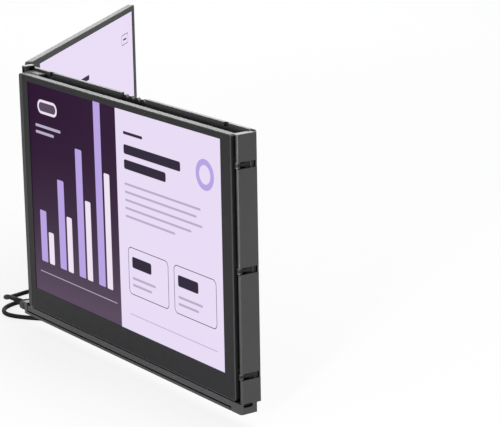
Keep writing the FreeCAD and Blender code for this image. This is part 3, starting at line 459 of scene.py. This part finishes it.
duller = math_node(dust, "ADD", d_in.outputs["Roughness"], duller, clamp=True)
dust.links.new(duller, d_out.inputs["Roughness"])

# %% [markdown]
# Brushed metal has fine strokes that all run one way. A noise stretched along the height gives
# them, and a broad noise changes the gloss from place to place.

# %% Brushed metal group
STROKE_STRETCH = (1, 1, 0.04)
STROKE_SCALE, CLOUD_SCALE = 2600.0, 60.0
STROKE_BASE, STROKE_GAIN, CLOUD_TO_ROUGHNESS = 0.8, 0.4, 0.25
brush, b_in, b_out = new_group(
    "brushed_lines",
    [("Vector", "Vector", None), ("Color", "Tone", (0.5, 0.5, 0.5, 1)),
     ("Float", "Roughness", 0.35)],
    [("Color", "Color"), ("Float", "Roughness"), ("Float", "Height")])
stretch = brush.nodes.new("ShaderNodeMapping")
stretch.inputs["Scale"].default_value = STROKE_STRETCH
brush.links.new(b_in.outputs["Vector"], stretch.inputs["Vector"])
strokes = noise(brush, stretch.outputs[0], STROKE_SCALE, 4.0, 0.7)
cloud = noise(brush, b_in.outputs["Vector"], CLOUD_SCALE, 2.0)
shade = math_node(brush, "ADD", STROKE_BASE, math_node(brush, "MULTIPLY", strokes, STROKE_GAIN))
brush.links.new(scaled(brush, b_in.outputs["Tone"], shade), b_out.inputs["Color"])
uneven = math_node(brush, "SUBTRACT", cloud, NOISE_MIDDLE)
uneven = math_node(brush, "MULTIPLY", uneven, CLOUD_TO_ROUGHNESS)
uneven = math_node(brush, "ADD", b_in.outputs["Roughness"], uneven, clamp=True)
brush.links.new(uneven, b_out.inputs["Roughness"])
brush.links.new(strokes, b_out.inputs["Height"])

# %% [markdown]
# A thin device is read by its dark lines: the seam round the base, the hinge windows and the slot
# behind the screen. Little light comes back out of such a gap, and this group paints that shade
# into the colour. An Ambient Occlusion node tells how open a point is to what stands within twelve
# millimetres, and the group darkens what is closed in, as painted shade.

# %% Crevice shade group
CLOSED_SLOPE, CLOSED_OFFSET = -2.4, 1.75
# Painted shade: the more closed in a point is, the more its colour is blended towards this
# near-black.
PAINTED_SHADE_BLACK = (0.002, 0.002, 0.002, 1)
crevice, c_in, c_out = new_group(
    "crevice_shade",
    [("Color", "Color", (0.1, 0.1, 0.1, 1)), ("Float", "Distance", 0.012)],
    [("Color", "Color")])
openness = crevice.nodes.new("ShaderNodeAmbientOcclusion")
openness.samples = 8
crevice.links.new(c_in.outputs["Distance"], openness.inputs["Distance"])
closed = math_node(crevice, "MULTIPLY_ADD", openness.outputs["AO"], CLOSED_SLOPE, CLOSED_OFFSET,
                   clamp=True)
darkened = blend_colour(crevice, closed, c_in.outputs["Color"], PAINTED_SHADE_BLACK)
crevice.links.new(darkened, c_out.inputs["Color"])

# %% [markdown]
# A finish puts the groups together: grain gives tone, gloss and a height for the bump, dust lies
# over it, and gaps are shaded last. The height goes into a Bump node in real millimetres, so that
# the grain stays shallow.

# %% Finish builders
COAT_ROUGHNESS = 0.35
STROKE_DEPTH = 0.02


def shader(name):
    """A new material, its node tree, its shader and a vector of the piece's own place."""
    material = bpy.data.materials.new(name)
    material.use_nodes = True
    tree = material.node_tree
    place = tree.nodes.new("ShaderNodeTexCoord").outputs["Object"]
    return material, tree, tree.nodes["Principled BSDF"], place


def put_group(tree, group, **values):
    node = tree.nodes.new("ShaderNodeGroup")
    node.node_tree = group
    for label, value in values.items():
        socket = node.inputs[label.replace("_", " ")]
        if isinstance(value, (int, float, tuple)):
            socket.default_value = value
        else:
            tree.links.new(value, socket)
    return node


def bump(tree, bsdf, height, distance, strength=0.6):
    node = tree.nodes.new("ShaderNodeBump")
    node.inputs["Distance"].default_value = distance
    node.inputs["Strength"].default_value = strength
    tree.links.new(height, node.inputs["Height"])
    tree.links.new(node.outputs[0], bsdf.inputs["Normal"])


def moulded(name, tone, rough, size, deep, dusty, drift=0.15, coat=0.0, shine=0.3):
    material, tree, bsdf, place = shader(name)
    skin = put_group(tree, grain, Vector=place, Tone=tone + (1.0,), Drift=drift,
                     Grain_size=size, Roughness=rough)
    top = put_group(tree, dust, Vector=place, Color=skin.outputs["Color"],
                    Roughness=skin.outputs["Roughness"], Amount=dusty)
    # Painted shade: the crevice group darkens the base colour wherever a point is closed in.
    shaded = put_group(tree, crevice, Color=top.outputs["Color"])
    tree.links.new(shaded.outputs["Color"], bsdf.inputs["Base Color"])
    tree.links.new(top.outputs["Roughness"], bsdf.inputs["Roughness"])
    bsdf.inputs["Specular IOR Level"].default_value = shine
    bsdf.inputs["Coat Weight"].default_value = coat
    bsdf.inputs["Coat Roughness"].default_value = COAT_ROUGHNESS
    bump(tree, bsdf, skin.outputs["Height"], deep * MM)
    return material


def brushed(name, tone, rough):
    material, tree, bsdf, place = shader(name)
    lines = put_group(tree, brush, Vector=place, Tone=tone + (1.0,), Roughness=rough)
    tree.links.new(lines.outputs["Color"], bsdf.inputs["Base Color"])
    tree.links.new(lines.outputs["Roughness"], bsdf.inputs["Roughness"])
    bsdf.inputs["Metallic"].default_value = 1.0
    bump(tree, bsdf, lines.outputs["Height"], STROKE_DEPTH * MM)
    return material


# %% [markdown]
# The plastics differ only in numbers, so they stand in one table: tone, roughness, grain size,
# grain depth in millimetres and dust, then what a few of them have beyond that. The metals have a
# tone and a roughness.

# %% Finishes by slot
plastics = {
    "body_plastic": ((0.028, 0.028, 0.029), 0.3, 2400.0, 0.05, 0.2, {"shine": 0.42}),
    "shell_plastic": ((0.024, 0.024, 0.025), 0.34, 2600.0, 0.05, 0.3, {"shine": 0.25}),
    "bezel_plastic": ((0.011, 0.011, 0.0115), 0.36, 3000.0, 0.03, 0.05, {"shine": 0.12}),
    "plate_metal": ((0.05, 0.05, 0.053), 0.34, 1500.0, 0.03, 0.3, {"drift": 0.08, "coat": 0.1}),
    "rubber": ((0.022, 0.022, 0.023), 0.75, 1100.0, 0.12, 0.1, {"drift": 0.2}),
    "cable_jacket": ((0.005, 0.005, 0.0055), 0.5, 1900.0, 0.05, 0.01,
                     {"drift": 0.2, "shine": 0.12}),
    "plug_plastic": ((0.018, 0.018, 0.019), 0.4, 2200.0, 0.05, 0.08, {}),
    "backlight": ((0.75, 0.76, 0.78), 0.5, 900.0, 0.02, 0.0, {"drift": 0.03}),
    "board": ((0.02, 0.1, 0.05), 0.3, 600.0, 0.04, 0.0, {"drift": 0.3, "coat": 0.4}),
    # Painted shade: the links are made near black to stand in for the shade in the hinge windows'
    # hollow.
    "link_shade_black": ((0.014, 0.014, 0.015), 0.4, 1600.0, 0.05, 0.02, {"shine": 0.15}),
}
finishes = {name: moulded(name, *plain, **extra) for name, (*plain, extra) in plastics.items()}
finishes["hinge_steel"] = brushed("hinge_steel", (0.075, 0.075, 0.08), 0.36)
finishes["screw_steel"] = brushed("screw_steel", (0.16, 0.16, 0.17), 0.42)
finishes["port_steel"] = brushed("port_steel", (0.55, 0.55, 0.56), 0.28)
# Painted shade: the near port takes a nearly black copy of the port steel, standing in for the
# shade that makes it look dark.
finishes["near_port"] = brushed("port_shaded_steel", (0.02, 0.02, 0.021), 0.5)
finishes["magnet"] = brushed("magnet", (0.62, 0.61, 0.60), 0.22)
print(len(finishes), "finishes")

# %% [markdown]
# ## Pictures on the screens
# A lit screen is its own light, so its picture goes to the shader's emission, and the surface
# itself stays nearly black and hardly shines. The picture is a plain chart page: a dark panel
# beside a pale one, made of rounded tiles. A tile is one small node group that paints a rounded
# rectangle, placed by its middle and half sizes in millimetres from the screen's hinge axis. It
# works out how far a point lies from the rectangle's edge, and turns that distance into a soft
# step.

# %% Rounded tile group
EDGE_SHARPNESS = 4.0
tile, t_in, t_out = new_group(
    "rounded_tile",
    [("Vector", "Vector", None), ("Color", "Under", (0, 0, 0, 1)), ("Color", "Tile", (1, 1, 1, 1)),
     ("Float", "Middle X", 0.0), ("Float", "Middle Z", 0.0), ("Float", "Half width", 1.0),
     ("Float", "Half height", 1.0), ("Float", "Corner", 0.5), ("Float", "Line", 0.0)],
    [("Color", "Color")])
xyz = tile.nodes.new("ShaderNodeSeparateXYZ")
tile.links.new(t_in.outputs["Vector"], xyz.inputs[0])
reach = []
for axis, middle, half in (("X", "Middle X", "Half width"), ("Z", "Middle Z", "Half height")):
    away = math_node(tile, "SUBTRACT", xyz.outputs[axis], t_in.outputs[middle])
    inner = math_node(tile, "SUBTRACT", t_in.outputs[half], t_in.outputs["Corner"])
    reach.append(math_node(tile, "SUBTRACT", math_node(tile, "ABSOLUTE", away), inner))
outside = [math_node(tile, "MAXIMUM", value, 0.0) for value in reach]
squares = [math_node(tile, "MULTIPLY", value, value) for value in outside]
length = math_node(tile, "SQRT", math_node(tile, "ADD", *squares))
inside = math_node(tile, "MINIMUM", math_node(tile, "MAXIMUM", reach[0], reach[1]), 0.0)
edge = math_node(tile, "SUBTRACT", math_node(tile, "ADD", length, inside), t_in.outputs["Corner"])
solid = math_node(tile, "MULTIPLY", edge, -EDGE_SHARPNESS, clamp=True)
hollow = math_node(tile, "ADD", edge, t_in.outputs["Line"])
hollow = math_node(tile, "MULTIPLY", hollow, EDGE_SHARPNESS, clamp=True)
lined = math_node(tile, "GREATER_THAN", t_in.outputs["Line"], 0.001)
keep = math_node(tile, "MAXIMUM", hollow, math_node(tile, "SUBTRACT", 1.0, lined))
mask = math_node(tile, "MULTIPLY", solid, keep)
painted = blend_colour(tile, mask, t_in.outputs["Under"], t_in.outputs["Tile"])
tile.links.new(painted, t_out.inputs["Color"])


# %% Screen colours
def srgb(text):
    """The linear colour of six hex digits, as a colour picker shows them."""
    values = [int(text[i:i + 2], 16) / 255 for i in (0, 2, 4)]
    return (*(v / 12.92 if v <= 0.04045 else ((v + 0.055) / 1.055) ** 2.4 for v in values), 1.0)


DEEP, PLUM, LILAC, CREAM, PALE, INK, MIST = (
    srgb(text) for text in ("290b2d", "5a4a5e", "b9a3e3", "efe3f3", "e8dcf5", "30283a", "b8aec6"))
print("lilac is", tuple(round(value, 3) for value in LILAC[:3]), "in linear light")

# %% [markdown]
# The dark panel isn't one flat tone: it lightens a little from left to right, and more towards
# its foot. The tiles then go over it one after the other, each on the colour that the one before
# it left.

# %% Screen pictures
LEFT_EDGE, SIDE_REACH, SIDE_GAIN = -321, 150, 0.1
TOP_EDGE, FALL, FALL_POWER = 103, 192, 2.4
SPARKLE_SCALE, SPARKLE_DEPTH = 5200.0, 0.01
SCREEN_ROUGHNESS, SPARKLE_TO_ROUGHNESS = 0.34, 0.12


def panel_gradient(tree, vector):
    across = tree.nodes.new("ShaderNodeSeparateXYZ")
    tree.links.new(vector, across.inputs[0])
    along = math_node(tree, "MULTIPLY_ADD", across.outputs["X"], SIDE_GAIN / SIDE_REACH,
                      -SIDE_GAIN * LEFT_EDGE / SIDE_REACH, clamp=True)
    lift = math_node(tree, "MULTIPLY_ADD", across.outputs["Z"], -1 / FALL, TOP_EDGE / FALL,
                     clamp=True)
    lift = math_node(tree, "POWER", lift, FALL_POWER)
    return blend_colour(tree, math_node(tree, "ADD", along, lift, clamp=True), DEEP, PLUM)


def screen(name, axis, turn, tiles, gradient):
    """A lit picture in the display's own axes.

    A tile is its colour, x, z, half width, half height and corner, and an outline's line width.
    """
    material, tree, bsdf, place = shader(name)
    spin = Matrix.Rotation(turn, 4, "Z")
    shift = spin @ Vector(axis)
    local = tree.nodes.new("ShaderNodeMapping")
    local.inputs["Rotation"].default_value = (0, 0, turn)
    local.inputs["Scale"].default_value = [1 / MM] * 3
    local.inputs["Location"].default_value = [-v for v in shift]
    tree.links.new(place, local.inputs["Vector"])
    vector = local.outputs[0]
    colour = panel_gradient(tree, vector) if gradient else PALE
    for tint, x, z, wide, tall, corner, *line_width in tiles:
        node = put_group(tree, tile, Vector=vector, Under=colour, Tile=tint,
                         Middle_X=float(x), Middle_Z=float(z),
                         Half_width=float(wide), Half_height=float(tall), Corner=float(corner),
                         Line=line_width[0] if line_width else 0.0)
        colour = node.outputs["Color"]
    sparkle = noise(tree, place, SPARKLE_SCALE, 2.0)
    matt = math_node(tree, "MULTIPLY_ADD", sparkle, SPARKLE_TO_ROUGHNESS, SCREEN_ROUGHNESS)
    tree.links.new(matt, bsdf.inputs["Roughness"])
    bump(tree, bsdf, sparkle, SPARKLE_DEPTH * MM, 0.3)
    bsdf.inputs["Base Color"].default_value = (0.002, 0.002, 0.003, 1)
    bsdf.inputs["Specular IOR Level"].default_value = 0.01
    tree.links.new(colour, bsdf.inputs["Emission Color"])
    bsdf.inputs["Emission Strength"].default_value = 1.0
    print(name, len(tiles), "tiles")
    return material


# %% [markdown]
# The pages are laid out as a designer does it, by a few rules: bars stand on one line, rows start
# at one left edge, and a card is a thin outline with smaller tiles in it.

# %% Pages
OUTLINE = 0.9


def columns(colour, foot, half_width, corner, places, heights):
    """Upright bars that stand on one line."""
    return [(colour, x, foot + tall, half_width, tall, corner) for x, tall in zip(places, heights)]


def rows(left, top, step, half_height, widths):
    """Thin lines of a paragraph, which start at one left edge."""
    return [(MIST, left + wide, top - number * step, wide, half_height, half_height)
            for number, wide in enumerate(widths)]


def near_tiles():
    """Rising pairs of columns on the dark panel, a heading, rows and two cards on the pale one."""
    tiles = [(PALE, -96.4, 7, 78.6, 97, 0.0)]
    heights = (24, 41, 58, 83)
    places = [-304 + number * 33 for number in range(len(heights))]
    tiles += columns(LILAC, -60, 5.6, 1.5, places, heights)
    tiles += columns(CREAM, -60, 4.6, 1.5, [x + 13 for x in places],
                     [tall * 0.62 for tall in heights])
    tiles += [(MIST, -247, -70, 66, 0.5, 0.4), (CREAM, -289, 84, 17, 6.5, 6.5),
              (PLUM, -289, 84, 14.6, 4.2, 4.2), (MIST, -289, 66, 22, 1.4, 1.4),
              (MIST, -295, 60, 16, 1.4, 1.4)]
    tiles += [(INK, -148, 84, 15, 1.4, 1.4), (INK, -120, 70, 43, 4.2, 2),
              (INK, -131, 57, 32, 4.2, 2)]
    tiles += rows(-163, 40, 7, 1.1, (57, 54, 58, 50, 38))
    for x in (-130, -60):
        tiles += [(INK, x, -35, 31, 21, 5, OUTLINE), (INK, x - 10, -27, 15, 5, 2),
                  (MIST, x - 7, -41, 18, 1.2, 1.2), (MIST, x - 10, -47, 15, 1.2, 1.2)]
    tiles += [(LILAC, -42, 70, 13, 13, 13), (PALE, -42, 70, 8, 8, 8),
              (MIST, -95, -74, 66, 0.5, 0.4)]
    return tiles


def far_tiles():
    """A pale page with a button, a short heading, rows, columns, and a card with a ring."""
    tiles = [(INK, 301, 78, 12, 5.5, 2.2, OUTLINE), (INK, 301, 78, 6, 1.0, 1.0),
             (INK, 160, 62, 15, 2.6, 1.5), (INK, 151, 51, 9, 2.6, 1.5)]
    tiles += rows(139, 28, 8, 1.2, (62, 58, 44))
    heights = (12, 19, 15, 26, 22, 33)
    places = [150 + number * 26 for number in range(len(heights))]
    tiles += columns(LILAC, -70, 7, 2, places, heights)
    tiles += [(INK, 82, -15, 42, 55, 6, OUTLINE), (LILAC, 82, 8, 22, 22, 22),
              (PALE, 82, 8, 14, 14, 14)]
    tiles += [(MIST, 82, -34 - number * 9, wide, 1.3, 1.3)
              for number, wide in enumerate((26, 20, 24))]
    return tiles


# %% [markdown]
# A display hangs on its hinge axis, and its page is laid out from there, in the turn that the
# display has at rest: the near one is folded flat to the front, the far one is swung out.

# %% Screen finishes
NEAR_AXIS, NEAR_TURN = (172.017, -18.786, 4.55), 0.0
FAR_AXIS, FAR_TURN = (-184.537, -1.680, 8.35), math.radians(228.6)
finishes["near_panel"] = screen("near_picture", NEAR_AXIS, NEAR_TURN, near_tiles(), True)
finishes["far_panel"] = screen("far_picture", FAR_AXIS, FAR_TURN, far_tiles(), False)

# %% [markdown]
# An imported piece takes the finish of its own name where there is one, as the two panels and the
# near port do, and otherwise that of its slot. The links are painted matt black all over, which
# stands in for the shade in the hollow of each hinge window. The new pieces on the cable share two
# finishes.

# %% Put the finishes on
slots = {part["node"]: part["material_slot"] for part in frame["record"]["subparts"]}
# The links take the near-black finish, painted shade for the hinge windows.
for side in ("near", "far"):
    for window in ("upper", "middle", "lower"):
        slots[f"{side}_link_{window}"] = "link_shade_black"
for name, thing in nodes.items():
    thing.data.materials.clear()
    thing.data.materials.append(finishes.get(name) or finishes[slots[name]])
for piece in (cable, near_sleeve, far_sleeve, strap):
    piece.data.materials.append(finishes["cable_jacket"])
for piece in (near_grip, far_grip):
    piece.data.materials.append(finishes["plug_plastic"])

# %% [markdown]
# ## Small parts that the eye looks for
# A screw is told from a disc by its driving recess, here a star of six lobes on each head, painted
# dark as painted shade for the hole.
# The same few lines model it at every screw, and each one gets a mesh of its own.

# %% Screw recess
LOBES = 6
LOBE_WAIST = 0.68


def recess(name, spot, turn=Matrix.Identity(4)):
    """A short cylinder whose every second corner is drawn in, with a sunk face."""
    clear_selection()
    bpy.ops.mesh.primitive_cylinder_add(vertices=2 * LOBES, radius=1.0 * MM, depth=0.12 * MM,
                                        location=(0, 0, 0))
    star = start(name)
    # Painted shade: the star takes the dark rubber finish in place of the shade inside a deep
    # recess.
    star.data.materials.append(finishes["rubber"])
    for vertex in star.data.vertices:
        corner = math.degrees(math.atan2(vertex.co.y, vertex.co.x)) / (180 / LOBES)
        if round(corner) % 2:
            vertex.co.x *= LOBE_WAIST
            vertex.co.y *= LOBE_WAIST
    pick_faces(star, lambda c, n: abs(n.z) > 0.9)
    bpy.ops.mesh.inset(thickness=0.15 * MM, depth=-0.04 * MM)
    finish_piece(star, "frame", Matrix.Translation(Vector(spot) * MM) @ turn)


# %% Recesses on the heads
BASE_HEADS_Z, FOOT_HEADS_Z, COVER_HEADS_Y = -114.18, -102.82, -6.58
for number, x in enumerate((-150, -136, 136, 150)):
    recess(f"base_recess_{number}", (x, -14, BASE_HEADS_Z))
for number, x in enumerate((-140, -50, 50, 140)):
    recess(f"foot_recess_{number}", (x, -9.8, FOOT_HEADS_Z))
facing_front = Matrix.Rotation(math.radians(90), 4, "X")
for side, x, heights in (("near", 162.9, (103.2, 47.05, -39.35, -97.5)),
                         ("far", -162.9, (104.65, 47.05, -39.35, -94.35))):
    for number, z in enumerate(heights):
        recess(f"{side}_cover_recess_{number}", (x, COVER_HEADS_Y, z), facing_front)

# %% [markdown]
# ## Room
# The object stands on a plain pale floor in soft light. The lamps stay at a plain level, so that
# colours show about as they are written. White comes from the floor and the world as the camera
# sees them.

# %% Floor
FLOOR_GLOW = 0.8
clear_selection()
bpy.ops.mesh.primitive_plane_add(size=14, location=(0, 0, TABLE * MM))
floor = start("floor")
pale, pale_tree, pale_bsdf, pale_place = shader("floor_pale")
cloudy = noise(pale_tree, pale_place, 3.0, 2.0)
floor_colour = blend_colour(pale_tree, cloudy, (0.84, 0.84, 0.845, 1), (0.86, 0.86, 0.86, 1))
pale_tree.links.new(floor_colour, pale_bsdf.inputs["Base Color"])
pale_bsdf.inputs["Roughness"].default_value = 0.9
seen = pale_tree.nodes.new("ShaderNodeLightPath")
glow = pale_tree.nodes.new("ShaderNodeEmission")
over = pale_tree.nodes.new("ShaderNodeMixShader")
share = math_node(pale_tree, "MULTIPLY", seen.outputs["Is Camera Ray"], FLOOR_GLOW)
pale_tree.links.new(share, over.inputs[0])
pale_tree.links.new(pale_bsdf.outputs[0], over.inputs[1])
pale_tree.links.new(glow.outputs[0], over.inputs[2])
pale_tree.links.new(over.outputs[0], pale_tree.nodes["Material Output"].inputs["Surface"])
floor.data.materials.append(pale)

# %% [markdown]
# The world lights the object softly, in a slightly cool grey. Rays from the camera, and those that
# a surface mirrors or lets through, see plain white in its place, so that the room is white behind
# the object and in its metal.

# %% World
world = bpy.data.worlds.new("room")
bpy.context.scene.world = world
world.use_nodes = True
tree = world.node_tree
background = tree.nodes["Background"]
background.inputs["Color"].default_value = (0.9, 0.91, 0.93, 1)
background.inputs["Strength"].default_value = 0.5
white = tree.nodes.new("ShaderNodeBackground")
white.inputs["Strength"].default_value = 1.0
rays = tree.nodes.new("ShaderNodeLightPath")
seen_rays = math_node(tree, "MAXIMUM", rays.outputs["Is Camera Ray"],
                      rays.outputs["Is Transmission Ray"])
seen_rays = math_node(tree, "MAXIMUM", seen_rays, rays.outputs["Is Glossy Ray"])
chooser = tree.nodes.new("ShaderNodeMixShader")
tree.links.new(seen_rays, chooser.inputs[0])
tree.links.new(background.outputs[0], chooser.inputs[1])
tree.links.new(white.outputs[0], chooser.inputs[2])
tree.links.new(chooser.outputs[0], tree.nodes["World Output"].inputs["Surface"])

# %% [markdown]
# Five area lamps shape the object: a broad one above and behind it, weaker ones beside, in front
# and at the back, and a narrow upright one that draws the bright line down the near corner.

# %% Lamps
def lamp(name, place, width, tall, power, target=(0, 0, 0)):
    """A soft area lamp that points at a target."""
    data = bpy.data.lights.new(name, "AREA")
    data.shape = "RECTANGLE"
    data.size = width
    data.size_y = tall
    data.energy = power
    thing = bpy.data.objects.new(name, data)
    bpy.context.scene.collection.objects.link(thing)
    thing.location = place
    thing.rotation_euler = (Vector(target) - Vector(place)).to_track_quat("-Z", "Y").to_euler()
    print(name, power, "W")


lamp("top_lamp", (0.2, 0.5, 1.9), 1.6, 1.2, 22)
lamp("side_lamp", (1.9, 0.7, 0.6), 0.9, 0.9, 3.5)
lamp("front_lamp", (-0.2, -2.2, 0.8), 1.2, 1.2, 4)
lamp("edge_lamp", (0.95, -1.15, 0.14), 0.14, 0.5, 24, (0.17, -0.02, 0))
lamp("back_lamp", (-1.8, 1.3, 0.75), 1.4, 0.8, 10)
bpy.context.scene.view_settings.view_transform = "Standard"

# %% End
bpy.context.view_layer.update()
